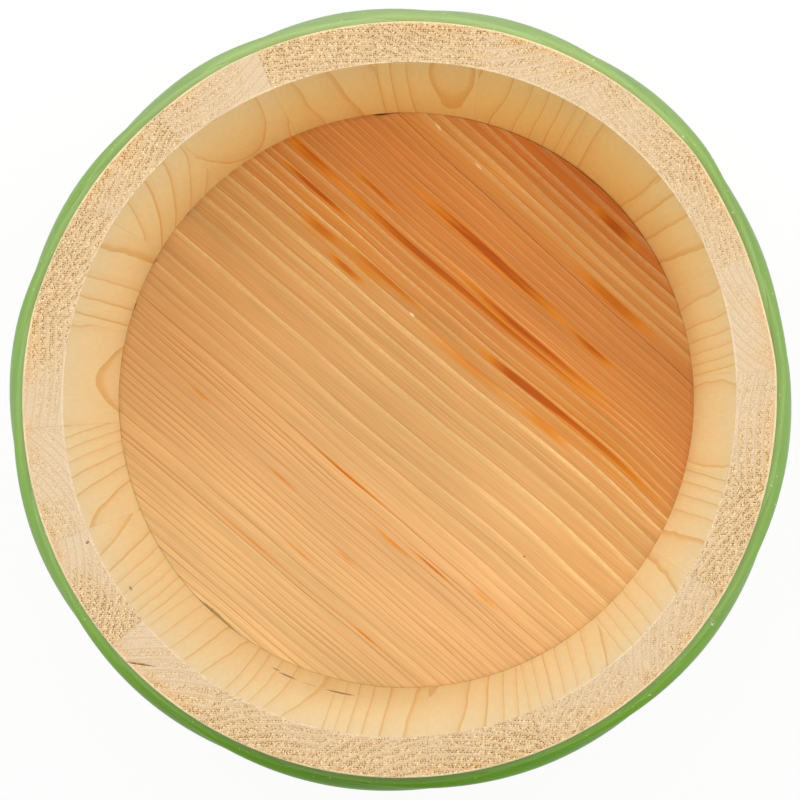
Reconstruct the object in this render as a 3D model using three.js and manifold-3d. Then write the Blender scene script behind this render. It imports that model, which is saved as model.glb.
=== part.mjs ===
// A coopered miso tub: tapered wooden staves round an edge-joined bottom, drawn together by twisted hoops.
// Millimetres, +Z up. The origin is at the middle of the foot, on the surface that the tub stands on.
import * as THREE from "three";
import { mergeVertices } from "three/addons/utils/BufferGeometryUtils.js";
import Module from "manifold-3d";

const wasm = await Module();
wasm.setup();

// Tub body
const tubHeight = 250;
const rimRadius = 130;
const footRadius = 120;
const staveThickness = 14;
const staveCount = 20;
const firstJointAngle = 4.5;
const facetsPerStave = 4;
const footChamfer = 2;

// Bottom, a round board of planks whose tongue sits in a groove round the inside of the staves
const footRecess = 15;
const bottomThickness = 15;
const bottomShoulderDepth = 1.5;
const tongueThickness = 9;
const bottomBevelWidth = 12;
const grooveDepth = 4;
const plankGrainAngle = -40;
const plankJointOffsets = [-20, 66];

// Bamboo pegs hidden in the joints, thickest in the middle
const pegDiameter = 4.5;
const pegTipDiameter = 2.5;
const pegTaperLength = 6;
const pegSides = 8;
const stavePegLength = 24;
const plankPegLength = 28;
const plankPegInset = 45;

// Hoops, each one strand of oval section that goes round the tub and twists on itself
const rimHoopDrop = 30;
const footHoopHeight = 24;
const hoopRounds = 3;
const twistsPerRound = 4;
const strandThickness = 3;
const strandHeight = 6;
const strandGap = 0.5;
const strandEndGap = 0.8;
const strandEndAngle = 324.5;
const strandEndTwist = 125;
const strandStepsPerRound = 60;
const strandSides = 8;

// Clearances
const jointGap = 0.3;
const pegGap = 0.3;
const grooveGap = 0.3;
const hoopGap = 0.5;
const cutterOvershoot = 20;

// Sizes worked out from the driving ones
const staveAngle = 360 / staveCount;
const wallSlope = (rimRadius - footRadius) / tubHeight;
const bottomTop = footRecess + bottomThickness;
const tongueTop = bottomTop - bottomShoulderDepth;
const tongueLow = tongueTop - tongueThickness;
const grooveLow = tongueLow - grooveGap;
const grooveTop = tongueTop + grooveGap;
const outsideRadius = (height) => footRadius + wallSlope * height;
const insideRadius = (height) => outsideRadius(height) - staveThickness;
const grooveRadius = insideRadius(tongueTop) + grooveDepth;
const bottomRadius = grooveRadius - grooveGap;
const shoulderRadius = insideRadius(grooveTop) - grooveGap;
const bevelRadius = insideRadius(grooveLow) - grooveGap;
const stavePegHeight = (bottomTop + tubHeight) / 2;
const rimHoopHeight = tubHeight - rimHoopDrop;
const hoopHeights = {
  hoop_rim: rimHoopHeight,
  hoop_middle: (rimHoopHeight + footHoopHeight) / 2,
  hoop_foot: footHoopHeight,
};

const radians = THREE.MathUtils.degToRad;

const staveWood = { color: 0xe9c48a, roughness: 0.7, metalness: 0 };
const bottomWood = { color: 0xd98f4e, roughness: 0.65, metalness: 0 };
const bamboo = { color: 0xcfb878, roughness: 0.6, metalness: 0 };
const greenPlastic = { color: 0x6fae45, roughness: 0.45, metalness: 0 };

const tub = new THREE.Group();

function addPiece(group, name, geometry, finish) {
  const mesh = new THREE.Mesh(geometry, new THREE.MeshStandardMaterial(finish));
  mesh.name = name;
  group.add(mesh);
  return mesh;
}

// A closed geometry as a solid for joining and cutting, with the slivers that meet at an axis left out.
function solidOf(geometry) {
  const bare = new THREE.BufferGeometry();
  bare.setAttribute("position", geometry.getAttribute("position"));
  bare.setIndex(geometry.index);
  const merged = mergeVertices(bare);
  const corners = merged.index.array;
  const triangles = [];
  for (let i = 0; i < corners.length; i += 3) {
    const [a, b, c] = corners.slice(i, i + 3);
    if (a !== b && b !== c && c !== a) triangles.push(a, b, c);
  }
  return new wasm.Manifold(
    new wasm.Mesh({
      numProp: 3,
      vertProperties: merged.getAttribute("position").array,
      triVerts: new Uint32Array(triangles),
    }),
  );
}

function geometryOf(solid) {
  const mesh = solid.getMesh();
  const geometry = new THREE.BufferGeometry();
  geometry.setAttribute("position", new THREE.BufferAttribute(mesh.vertProperties, 3));
  geometry.setIndex(new THREE.BufferAttribute(mesh.triVerts, 1));
  geometry.computeVertexNormals();
  return geometry;
}

// Turns a profile of [radius, height] points round the tub's axis, with its corners on the stave joints.
function turned(profile) {
  const points = profile.map(([radius, height]) => new THREE.Vector2(radius, height));
  return new THREE.LatheGeometry(points, staveCount * facetsPerStave).rotateX(Math.PI / 2);
}

// A spindle along +X, centred on the origin: a bamboo peg, or its hole when it is made larger all over.
function spindle(length, growth) {
  const middle = pegDiameter / 2 + growth;
  const tip = pegTipDiameter / 2 + growth;
  const reach = length / 2 + growth;
  const shoulder = length / 2 - pegTaperLength;
  const profile = [
    [0, -reach],
    [tip, -reach],
    [middle, -shoulder],
    [middle, shoulder],
    [tip, reach],
    [0, reach],
  ].map(([radius, along]) => new THREE.Vector2(radius, along));
  return new THREE.LatheGeometry(profile, pegSides).rotateZ(-Math.PI / 2);
}

// The place of the peg in the stave joint at this angle: halfway through the wall, lying along the tub's round.
function atStaveJoint(angle) {
  const middleOfWall = outsideRadius(stavePegHeight) - staveThickness / 2;
  const x = middleOfWall * Math.cos(radians(angle));
  const y = middleOfWall * Math.sin(radians(angle));
  return new THREE.Matrix4()
    .makeRotationZ(radians(angle + 90))
    .setPosition(x, y, stavePegHeight);
}

// Staves: a wedge cut from the turned wall, with the bottom's groove and half of each neighbour's peg hole
const wall = solidOf(
  turned([
    [footRadius - footChamfer, 0],
    [outsideRadius(footChamfer), footChamfer],
    [rimRadius, tubHeight],
    [insideRadius(tubHeight), tubHeight],
    [insideRadius(grooveTop), grooveTop],
    [grooveRadius, grooveTop],
    [grooveRadius, grooveLow],
    [insideRadius(grooveLow), grooveLow],
    [insideRadius(0), 0],
    [footRadius - footChamfer, 0],
  ]),
);

function staveGeometry() {
  const halfAngle = radians(staveAngle / 2);
  const apex = jointGap / 2 / Math.sin(halfAngle);
  const reach = rimRadius + cutterOvershoot;
  const side = reach * Math.tan(halfAngle);
  const wedge = new THREE.Shape();
  wedge.moveTo(apex, 0);
  wedge.lineTo(apex + reach, -side);
  wedge.lineTo(apex + reach, side);
  wedge.closePath();
  const sector = new THREE.ExtrudeGeometry(wedge, {
    depth: tubHeight + 2 * cutterOvershoot,
    bevelEnabled: false,
  });
  sector.translate(0, 0, -cutterOvershoot);
  let stave = wall.intersect(solidOf(sector));
  for (const edge of [-staveAngle / 2, staveAngle / 2]) {
    const hole = spindle(stavePegLength, pegGap).applyMatrix4(atStaveJoint(edge));
    stave = stave.subtract(solidOf(hole));
  }
  return geometryOf(stave);
}

const stave = staveGeometry();
const stavePeg = geometryOf(solidOf(spindle(stavePegLength, 0)));
for (let i = 0; i < staveCount; i++) {
  const number = String(i + 1).padStart(2, "0");
  const jointAngle = firstJointAngle + i * staveAngle;
  const placed = addPiece(tub, `stave_${number}`, stave, staveWood);
  placed.rotation.z = radians(jointAngle + staveAngle / 2);
  const peg = addPiece(tub, `stave_peg_${number}`, stavePeg, bamboo);
  peg.applyMatrix4(atStaveJoint(jointAngle));
}

// Bottom: a disc with a tongue round its edge, shouldered above and bevelled below, sawn into pegged planks
const bottom = new THREE.Group();
bottom.rotation.z = radians(plankGrainAngle);
tub.add(bottom);

const disc = solidOf(
  turned([
    [0, footRecess],
    [bevelRadius - bottomBevelWidth, footRecess],
    [bevelRadius, tongueLow],
    [bottomRadius, tongueLow],
    [bottomRadius, tongueTop],
    [shoulderRadius, tongueTop],
    [shoulderRadius, bottomTop],
    [0, bottomTop],
  ]).rotateZ(-bottom.rotation.z),
);
const middleOfBottom = (footRecess + bottomTop) / 2;

// The plank pegs lie across the grain, one near each end of a joint.
function atPlankJoint(offset, end) {
  const along = end * (Math.sqrt(bottomRadius ** 2 - offset ** 2) - plankPegInset);
  return new THREE.Matrix4().makeRotationZ(Math.PI / 2).setPosition(along, offset, middleOfBottom);
}

const plankEdges = [-rimRadius, ...plankJointOffsets, rimRadius];
for (let i = 0; i + 1 < plankEdges.length; i++) {
  const [low, high] = [plankEdges[i] + jointGap / 2, plankEdges[i + 1] - jointGap / 2];
  const strip = new THREE.BoxGeometry(2 * rimRadius, high - low, tubHeight);
  strip.translate(0, (low + high) / 2, 0);
  let plank = disc.intersect(solidOf(strip));
  for (const offset of plankJointOffsets) {
    for (const end of [-1, 1]) {
      const hole = spindle(plankPegLength, pegGap).applyMatrix4(atPlankJoint(offset, end));
      plank = plank.subtract(solidOf(hole));
    }
  }
  addPiece(bottom, `bottom_plank_${i + 1}`, geometryOf(plank), bottomWood);
}

const plankPeg = geometryOf(solidOf(spindle(plankPegLength, 0)));
plankJointOffsets.forEach((offset, joint) => {
  [-1, 1].forEach((end, side) => {
    const peg = addPiece(bottom, `bottom_peg_${2 * joint + side + 1}`, plankPeg, bamboo);
    peg.applyMatrix4(atPlankJoint(offset, end));
  });
});

// Hoops: the rounds of one strand stand in a ring that twists along the hoop, so that they wrap each other.
// The odd twist over a whole number in each round brings the strand to the next place in that ring.
const hoopTwists = hoopRounds * twistsPerRound + 1;
const packing = 1 / Math.sin(Math.PI / hoopRounds);
const twistAcross = packing * (strandThickness / 2 + strandGap / 2);
const twistUp = packing * (strandHeight / 2 + strandGap / 2);

// A point of the strand: share runs from 0 to 1 along the strand, and around is the angle in its oval section.
function strandPoint(height, share, around) {
  const hoopRadius = outsideRadius(height) + hoopGap + twistAcross + strandThickness / 2;
  const sweep = hoopRounds * 2 * Math.PI - strandEndGap / hoopRadius;
  const angle = radians(strandEndAngle) + share * sweep;
  const twist = radians(strandEndTwist) - (hoopTwists / hoopRounds) * share * sweep;
  const rise = twistUp * Math.sin(twist) + (strandHeight / 2) * Math.sin(around);
  const out = twistAcross * Math.cos(twist) + (strandThickness / 2) * Math.cos(around);
  const radius = hoopRadius + out + wallSlope * rise;
  return new THREE.Vector3(radius * Math.cos(angle), radius * Math.sin(angle), height + rise);
}

function strandGeometry(height) {
  const steps = hoopRounds * strandStepsPerRound;
  const points = [];
  const faces = [];
  for (let i = 0; i <= steps; i++) {
    for (let j = 0; j < strandSides; j++) {
      points.push(strandPoint(height, i / steps, (2 * Math.PI * j) / strandSides));
    }
  }
  const at = (i, j) => i * strandSides + (j % strandSides);
  for (let i = 0; i < steps; i++) {
    for (let j = 0; j < strandSides; j++) {
      faces.push(at(i, j), at(i + 1, j), at(i + 1, j + 1));
      faces.push(at(i, j), at(i + 1, j + 1), at(i, j + 1));
    }
  }
  for (let j = 1; j + 1 < strandSides; j++) {
    faces.push(at(0, 0), at(0, j), at(0, j + 1));
    faces.push(at(steps, 0), at(steps, j + 1), at(steps, j));
  }
  const geometry = new THREE.BufferGeometry().setFromPoints(points);
  geometry.setIndex(faces);
  geometry.computeVertexNormals();
  return geometry;
}

// The least distance between neighbouring turns of a strand, measured between points on its oval section.
function leastGap(height) {
  const stations = 8 * hoopTwists;
  const sectionPoints = 64;
  const ovalAt = (share) =>
    Array.from({ length: sectionPoints }, (_, j) =>
      strandPoint(height, share, (2 * Math.PI * j) / sectionPoints),
    );
  let least = Infinity;
  for (let i = 0; i <= stations; i++) {
    const share = i / stations / hoopRounds;
    const turns = Array.from({ length: hoopRounds }, (_, turn) => ovalAt(share + turn / hoopRounds));
    for (let a = 0; a < hoopRounds; a++) {
      for (let b = a + 1; b < hoopRounds; b++) {
        for (const p of turns[a]) {
          for (const q of turns[b]) least = Math.min(least, p.distanceTo(q));
        }
      }
    }
  }
  const [start, end] = [ovalAt(0), ovalAt(1)];
  start.forEach((p, j) => {
    least = Math.min(least, p.distanceTo(end[j]));
  });
  return least;
}

for (const [name, height] of Object.entries(hoopHeights)) {
  addPiece(tub, name, strandGeometry(height), greenPlastic);
  console.log(`${name}: least gap of the strand to itself ${leastGap(height).toFixed(2)} mm`);
}

export default tub;
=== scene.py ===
import math

import bpy
import numpy as np
from mathutils import Matrix, Vector


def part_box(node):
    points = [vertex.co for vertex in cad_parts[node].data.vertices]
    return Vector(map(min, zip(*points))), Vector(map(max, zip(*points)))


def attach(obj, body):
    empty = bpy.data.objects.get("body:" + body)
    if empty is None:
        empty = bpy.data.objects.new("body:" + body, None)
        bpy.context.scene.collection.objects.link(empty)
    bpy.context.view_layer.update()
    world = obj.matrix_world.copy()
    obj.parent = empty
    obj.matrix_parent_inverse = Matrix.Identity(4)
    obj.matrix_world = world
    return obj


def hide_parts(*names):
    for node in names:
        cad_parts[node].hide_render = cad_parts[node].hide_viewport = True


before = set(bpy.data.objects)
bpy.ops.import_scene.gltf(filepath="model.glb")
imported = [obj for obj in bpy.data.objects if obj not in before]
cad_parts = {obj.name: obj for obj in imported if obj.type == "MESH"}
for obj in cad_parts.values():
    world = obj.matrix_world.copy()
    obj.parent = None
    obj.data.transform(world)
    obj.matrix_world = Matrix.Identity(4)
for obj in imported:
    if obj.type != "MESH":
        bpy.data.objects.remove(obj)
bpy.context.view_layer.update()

# Bottom: a round board of three softwood planks, edge joined along the grain, whose tongue sits in a groove
# of the staves. Planing leaves hard summer wood a little proud, and old resin stains the board in streaks.
# Its sizes are read off the solids, in millimetres.
MM = 0.001
PLANKS = ["bottom_plank_1", "bottom_plank_2", "bottom_plank_3"]
PLANK_PEGS = ["bottom_peg_1", "bottom_peg_2", "bottom_peg_3", "bottom_peg_4"]
GRAIN_ANGLE = math.radians(-40)
# The gap in a joint as it is seen, and between the solids; the room round a peg; and what counts as level.
JOINT_GAP = 0.04
SOLID_GAP = 0.3
PEG_HOLE = 0.1
LEVEL = 0.01
# How a plank is divided along and across the grain, its eased edge, how near its side comes to the round as a
# share, the height of its raised grain, and from what angle an edge is sharp.
GRAIN_STEP = 3.2
RIDGE_STEP = 0.3
PLANK_EASE = 0.02
PLANK_CHORD = 0.998
RIDGE_HEIGHT = 0.02
SHARP_EDGE = math.radians(50)


def points_of(node):
    """The corners of a solid, in millimetres."""
    return np.array([v.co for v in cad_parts[node].data.vertices]) / MM


def wall_radii(height):
    """The inner and outer radius of the staves at the height of one of their rings of corners."""
    corners = points_of("stave_01")
    radii = np.hypot(corners[:, 0], corners[:, 1])[np.abs(corners[:, 2] - height) < LEVEL]
    middle = (radii.min() + radii.max()) / 2
    return radii[radii < middle].max(), radii.max()


tub_height = points_of("stave_01")[:, 2].max()
rim_inside, rim_outside = wall_radii(tub_height)
foot_inside, foot_edge = wall_radii(0)
wall_slope = (rim_inside - foot_inside) / tub_height
wall_thickness = rim_outside - rim_inside

plank_corners = np.concatenate([points_of(plank) for plank in PLANKS])
plank_radii = np.hypot(plank_corners[:, 0], plank_corners[:, 1])
floor_top = plank_corners[:, 2].max()
floor_under = plank_corners[:, 2].min()
tongue_radius = plank_radii.max()
tongue_heights = plank_corners[plank_radii > tongue_radius - SOLID_GAP, 2]
tongue_low, tongue_top = tongue_heights.min(), tongue_heights.max()
under_radius = plank_radii[plank_corners[:, 2] < floor_under + LEVEL].max()
floor_radius = foot_inside + wall_slope * tongue_top - JOINT_GAP / 4
bevel_radius = foot_inside + wall_slope * tongue_low - JOINT_GAP

# Planed softwood, pale at one edge and reddish towards the heartwood at the other. Each year ring starts with
# a pale edge that stands a little proud, painted paler the prouder it stands, partly as a painted highlight
# on the raised edge; it darkens slowly and ends in a thin brown line. The sheen is dull, and glossier in
# resin.
# The ground's colours are given at places across the grain.
BOARD_COLOURS = [
    (-107, "#E2C596"), (-84, "#DFBF8E"), (-50, "#DEB888"), (-19, "#DCB886"), (0, "#DAB480"), (20, "#D9AE75"),
    (30, "#D7A063"), (46, "#D69455"), (66, "#D69355"), (73, "#D69355"), (80, "#DEA05D"), (88, "#E1A660"),
    (96, "#D98A45"), (107, "#D57E39"),
]
BOARD_LINE = "#B4652E"
BOARD_LATE = "#C98040"
BOARD_EDGE_HIGHLIGHT = "#EAD09A"
RESIN_LIGHT = "#E0922A"
RESIN_DARK = "#BA5808"
RESIN_THREAD = "#9A4406"
BOARD_TEAR = "#F6E3BC"
# Painted shade in the notch at the board's edge and in the pin hole.
BOARD_HOLLOW_SHADE = "#5A3014"
BOARD_SPAN = 107


def fill(tree, pairs):
    """Fills each socket from its source: a link to a node or an output, or a value."""
    for socket, source in pairs:
        if isinstance(source, bpy.types.Node):
            source = next(output for output in source.outputs if output.enabled)
        if isinstance(source, bpy.types.NodeSocket):
            tree.links.new(source, socket)
        elif source is not None:
            socket.default_value = source


def add(tree, kind, *sources, **settings):
    """Adds a node, a shader node where the kind names no other, with its settings.

    The sources fill its inputs in order, and those in "into" by name.
    """
    node = tree.nodes.new(kind if "Node" in kind else "ShaderNode" + kind)
    into = settings.pop("into", {})
    for name, value in settings.items():
        setattr(node, name, value)
    sockets = [socket for socket in node.inputs if socket.enabled]
    named = [(next(s for s in sockets if s.name == name), source) for name, source in into.items()]
    fill(tree, [*zip(sockets, sources), *named])
    return node


def linear(colour):
    """An sRGB hex colour as linear red, green, blue and alpha."""
    shares = [int(colour[i:i + 2], 16) / 255 for i in (1, 3, 5)]
    return [s / 12.92 if s < 0.04045 else ((s + 0.055) / 1.055) ** 2.4 for s in shares] + [1]


def new_material(name):
    """A material with a Principled shader; gives the material, its tree and the shader."""
    material = bpy.data.materials.new(name)
    material.use_nodes = True
    tree = material.node_tree
    return material, tree, tree.nodes["Principled BSDF"]


def set_shader(tree, shader, looks):
    """Fills inputs of a shader by name."""
    fill(tree, [(shader.inputs[name], source) for name, source in looks.items()])


def laid_over(tree, colour, *layers):
    """A colour with others laid over it in turn, each by its share."""
    for share, over in layers:
        colour = add(tree, "Mix", share, colour, linear(over), data_type="RGBA")
    return colour


def marks_of(tree, *names):
    """The numbers stored on a mesh under these names."""
    return [add(tree, "Attribute", attribute_name=name).outputs["Fac"] for name in names]


def stretched_noise(tree, place, scales, detail):
    """Noise with its own scale along each axis."""
    scaled = add(tree, "Mapping", place, into={"Scale": scales})
    return add(tree, "TexNoise", scaled, into={"Scale": 1, "Detail": detail})


def damage_depth(tree, place, middle, turn, half_sizes, frayed):
    """How deep a point lies in an oval of damage, from 0 at its border to about 1 in its middle."""
    oval = {"Location": Vector(middle) * MM, "Rotation": (0, 0, turn), "Scale": Vector(half_sizes) * MM}
    oval_place = add(tree, "Mapping", place, vector_type="TEXTURE", into=oval)
    inwards = add(tree, "TexGradient", oval_place, gradient_type="SPHERICAL").outputs["Fac"]
    return add(tree, "Math", inwards, frayed, operation="MULTIPLY")


def set_stops(ramp, stops):
    """Sets a colour ramp's stops from pairs of place and hex colour."""
    elements = ramp.color_ramp.elements
    while len(elements) < len(stops):
        elements.new(1)
    for element, (place, colour) in zip(elements, stops):
        element.position = place
        element.color = linear(colour)


bottom_wood, tree, shader = new_material("planed_softwood_board")
ring, width, over, proud = marks_of(tree, "ring", "ring_width", "over_board", "proud_edge")
darkness, edge_width, resin = marks_of(tree, "ring_line", "edge_width", "resin")
bleach_and_painted_light, wash = marks_of(tree, "bleach_and_painted_light", "wash")
place = add(tree, "TexCoord").outputs["Object"]
levelled = add(tree, "Mapping", place, into={"Rotation": (0, 0, -GRAIN_ANGLE)})
fibre = stretched_noise(tree, levelled, (25, 1500, 1500), 2)
cloud = stretched_noise(tree, levelled, (8, 90, 90), 2)
chatter = stretched_noise(tree, levelled, (450, 900, 900), 1)
within = add(tree, "Math", ring, operation="FRACT")
number = add(tree, "Math", ring, operation="FLOOR")
chance = add(tree, "TexWhiteNoise", number, noise_dimensions="1D")
after_edge = add(tree, "Math", within, width, operation="MULTIPLY")
before_edge = add(tree, "Math", width, after_edge, operation="SUBTRACT")
unstained = add(tree, "ValToRGB", over)
set_stops(unstained, [((mm + BOARD_SPAN) / (2 * BOARD_SPAN), colour) for mm, colour in BOARD_COLOURS])
ground = laid_over(tree, unstained, (wash, RESIN_LIGHT))
late = add(tree, "MapRange", within, 0.3, 1, 0, 0.17)
edge = add(tree, "MapRange", after_edge, 0, edge_width, 1.1, 0, interpolation_type="SMOOTHSTEP")
ragged = add(tree, "MapRange", chatter, 0.3, 0.7, 0.7, 1.2)
ragged_edge = add(tree, "Math", edge, ragged, operation="MULTIPLY")
fading = add(tree, "MapRange", cloud, 0.35, 0.65, 0.6, 1.2)
fading_edge = add(tree, "Math", ragged_edge, fading, operation="MULTIPLY")
# The pale ring edge grows with how proud it stands: partly pale spring wood, partly a painted highlight.
edge_highlight_there = add(tree, "Math", fading_edge, proud, operation="MULTIPLY", use_clamp=True)
line_width = add(tree, "MapRange", chance, 0, 1, 0.9, 0.45)
line = add(tree, "MapRange", before_edge, line_width, 0.05, 0, 1, interpolation_type="SMOOTHSTEP")
line_chance = add(tree, "MapRange", chance, 0, 1, 0.25, 0.95)
line_often = add(tree, "Math", line, line_chance, operation="MULTIPLY")
line_there = add(tree, "Math", line_often, darkness, operation="MULTIPLY")
lined = laid_over(tree, ground, (late, BOARD_LATE), (edge_highlight_there, BOARD_EDGE_HIGHLIGHT), (line_there, BOARD_LINE))
resin_age = add(tree, "MapRange", resin, 0.35, 1, 0, 1)
resin_colour = laid_over(tree, linear(RESIN_LIGHT), (resin_age, RESIN_DARK))
resin_streaks = add(tree, "MapRange", fibre, 0.3, 0.7, 0.35, 1.25)
resin_patch = add(tree, "Math", resin, resin_streaks, operation="MULTIPLY")
resin_there = add(tree, "MapRange", resin_patch, 0.05, 0.4, 0, 0.92, interpolation_type="SMOOTHSTEP")
soaked = add(tree, "Mix", resin_there, lined, resin_colour, data_type="RGBA")
threads = add(tree, "MapRange", fibre, 0.52, 0.64, 0, 0.55)
thread_there = add(tree, "Math", threads, resin_age, operation="MULTIPLY")
stained = laid_over(tree, soaked, (thread_there, RESIN_THREAD))
# A notch at the edge and a pin hole, painted dark as painted shade in them, and three torn places: along and
# across the grain, turn, half sizes and colour. Each goes this deep.
MARK_DEPTH = 4
BOARD_MARKS = [
    (-76, 75.4, 45, 3.4, 0.9, BOARD_HOLLOW_SHADE), (71.2, -16.4, 0, 0.5, 0.5, BOARD_HOLLOW_SHADE),
    (-56.5, 85.8, -15, 2.6, 0.8, BOARD_TEAR), (-35.5, 84, -6, 2.8, 0.5, BOARD_TEAR),
    (-18.8, 25.7, 0, 1.6, 0.6, BOARD_TEAR),
]
frayed = add(tree, "MapRange", chatter, 0.3, 0.7, 0.4, 1.4)
for mark_x, mark_y, turn, half_along, half_across, colour in BOARD_MARKS:
    depth = damage_depth(tree, levelled, (mark_x, mark_y, floor_top), math.radians(turn),
                         (half_along, half_across, MARK_DEPTH), frayed)
    marked = add(tree, "MapRange", depth, 0.1, 0.5, 0, 0.85, interpolation_type="SMOOTHSTEP")
    stained = laid_over(tree, stained, (marked, colour))
speck = add(tree, "MapRange", fibre, 0.3, 0.7, 0.88, 1.09)
tone = add(tree, "MapRange", cloud, 0.3, 0.7, 0.93, 1.05)
tint = add(tree, "Math", speck, tone, operation="MULTIPLY")
# Painted light and shade, with the bleached patches, multiply the colour.
lit_and_bleached = add(tree, "Math", tint, bleach_and_painted_light, operation="MULTIPLY")
tinted = add(tree, "Mix", 1, stained, lit_and_bleached, data_type="RGBA", blend_type="MULTIPLY")
gloss = add(tree, "MapRange", resin, 0, 1, 0.6, 0.45)
bump = add(tree, "Bump", into={"Strength": 0.2, "Distance": 0.2 * MM, "Height": fibre})
set_shader(tree, shader, {
    "Base Color": tinted, "Specular IOR Level": 0.08, "Roughness": gloss, "Normal": bump})

# Each level of a plank, from its underside up: its height and the radius that its ends are cut to.
PLANK_LEVELS = [
    ("Underside", "Under Radius"),
    ("Tongue Low", "Bevel Radius"),
    ("Tongue Low", "Tongue Radius"),
    ("Tongue Top", "Tongue Radius"),
    ("Tongue Top", "Floor Radius"),
    ("Floor Top", "Floor Radius"),
    ("Floor Top", "Floor Radius"),
]


def shape_tree(name, sizes):
    """A geometry tree with a named number input for each size; gives the tree and its inputs by name."""
    tree = bpy.data.node_groups.new(name, "GeometryNodeTree")
    tree.interface.new_socket("Geometry", in_out="OUTPUT", socket_type="NodeSocketGeometry")
    for size in sizes:
        tree.interface.new_socket(size, in_out="INPUT", socket_type="NodeSocketFloat")
    return tree, add(tree, "NodeGroupInput").outputs


def close_tree(tree, mesh, material, turn):
    """Ends a tree: smooth but for sharp edges, in metres, turned into place, with its material."""
    edge = add(tree, "GeometryNodeInputMeshEdgeAngle")
    sharp = add(tree, "FunctionNodeCompare", edge, SHARP_EDGE, operation="GREATER_THAN")
    smooth = add(tree, "GeometryNodeSetShadeSmooth", mesh, True, True)
    creased = add(tree, "GeometryNodeSetShadeSmooth", smooth, sharp, False, domain="EDGE")
    rotation = add(tree, "CombineXYZ", 0, 0, turn)
    placed = add(tree, "GeometryNodeTransform", creased, into={"Rotation": rotation, "Scale": (MM, MM, MM)})
    real = add(tree, "GeometryNodeRealizeInstances", placed)
    dressed = add(tree, "GeometryNodeSetMaterial", real, into={"Material": material})
    add(tree, "NodeGroupOutput", dressed)


def peg_sizes(peg):
    """The middle of a peg's solid, and the sizes of the hole that it sits in."""
    corners = points_of(peg)
    middle = (corners.min(axis=0) + corners.max(axis=0)) / 2
    off_middle = corners - middle
    lie = np.linalg.svd(off_middle)[2][0]
    along = np.abs(off_middle @ lie)
    away = np.linalg.norm(np.cross(off_middle, lie), axis=1)
    return middle, {
        "Peg Radius": away.max() + PEG_HOLE, "Peg Tip": away[along > along.max() - LEVEL].max() + PEG_HOLE,
        "Peg Reach": along.max() + PEG_HOLE, "Peg Shoulder": along[away > away.max() - LEVEL].max()}


def peg_hole(tree, size):
    """A spindle along Y, in the shape of a peg hole, to be cut out of a piece."""
    rod = add(tree, "GeometryNodeMeshCylinder", 16, 3, 1, 1, 1)
    spot = add(tree, "SeparateXYZ", add(tree, "GeometryNodeInputPosition"))
    from_middle = add(tree, "Math", spot.outputs["Z"], operation="ABSOLUTE")
    at_end = add(tree, "FunctionNodeCompare", from_middle, 0.3, operation="GREATER_THAN")
    radius = add(tree, "Mix", at_end, size["Peg Radius"], size["Peg Tip"])
    far = add(tree, "Mix", at_end, size["Peg Shoulder"], size["Peg Reach"])
    half = add(tree, "Math", spot.outputs["Z"], operation="SIGN")
    along = add(tree, "Math", half, far, operation="MULTIPLY")
    aside = add(tree, "Math", spot.outputs["X"], radius, operation="MULTIPLY")
    up = add(tree, "Math", spot.outputs["Y"], radius, operation="MULTIPLY")
    placed = add(tree, "CombineXYZ", aside, along, up)
    spindle = add(tree, "GeometryNodeSetPosition", rod, into={"Position": placed})
    return add(tree, "GeometryNodeFlipFaces", spindle)


def by_level(tree, level, values):
    """A number picked by level from a list of numbers, sizes and nodes."""
    switch = add(tree, "GeometryNodeIndexSwitch", level, data_type="FLOAT")
    while len(switch.index_switch_items) < len(values):
        switch.index_switch_items.new()
    fill(tree, zip(switch.inputs[1:], values))
    return switch


tree, size = shape_tree("plank_shape", [
    "Low Edge", "High Edge", "Along Steps", "Across Steps", "Underside", "Tongue Low", "Tongue Top",
    "Floor Top", "Under Radius", "Bevel Radius", "Tongue Radius", "Floor Radius", "Peg Radius", "Peg Tip",
    "Peg Reach", "Peg Shoulder"])
cube = add(tree, "GeometryNodeMeshCube", (1, 1, 1), size["Along Steps"], size["Across Steps"],
           len(PLANK_LEVELS))
spot = add(tree, "SeparateXYZ", add(tree, "GeometryNodeInputPosition"))
level_place = add(tree, "MapRange", spot.outputs["Z"], -0.5, 0.5, 0, len(PLANK_LEVELS) - 1)
level = add(tree, "FunctionNodeFloatToInt", level_place, rounding_mode="ROUND")
height = by_level(tree, level, [size[level_height] for level_height, level_radius in PLANK_LEVELS])
radius = by_level(tree, level, [size[level_radius] for level_height, level_radius in PLANK_LEVELS])
on_top = add(tree, "FunctionNodeCompare", level, len(PLANK_LEVELS) - 1, data_type="INT", operation="EQUAL")
below_top = add(tree, "FunctionNodeCompare", level, len(PLANK_LEVELS) - 2, data_type="INT", operation="EQUAL")
eased = add(tree, "Math", below_top, -PLANK_EASE, height, operation="MULTIPLY_ADD")
cut = add(tree, "Math", on_top, -PLANK_EASE, radius, operation="MULTIPLY_ADD")
reach = add(tree, "Math", cut, PLANK_CHORD, operation="MULTIPLY")
high = add(tree, "Math", size["High Edge"], reach, operation="MINIMUM")
low_reach = add(tree, "Math", reach, -1, operation="MULTIPLY")
low = add(tree, "Math", size["Low Edge"], low_reach, operation="MAXIMUM")
across = add(tree, "MapRange", spot.outputs["Y"], -0.5, 0.5, low, high)
across_squared = add(tree, "Math", across, across, operation="MULTIPLY")
cut_squared = add(tree, "Math", cut, cut, operation="MULTIPLY")
chord_squared = add(tree, "Math", cut_squared, across_squared, operation="SUBTRACT")
chord = add(tree, "Math", chord_squared, operation="SQRT")
half = add(tree, "Math", spot.outputs["X"], 2, operation="MULTIPLY")
along = add(tree, "Math", half, chord, operation="MULTIPLY")
spot_placed = add(tree, "CombineXYZ", along, across, eased)
mesh = add(tree, "GeometryNodeSetPosition", cube, into={"Position": spot_placed})
hole = peg_hole(tree, size)
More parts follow.
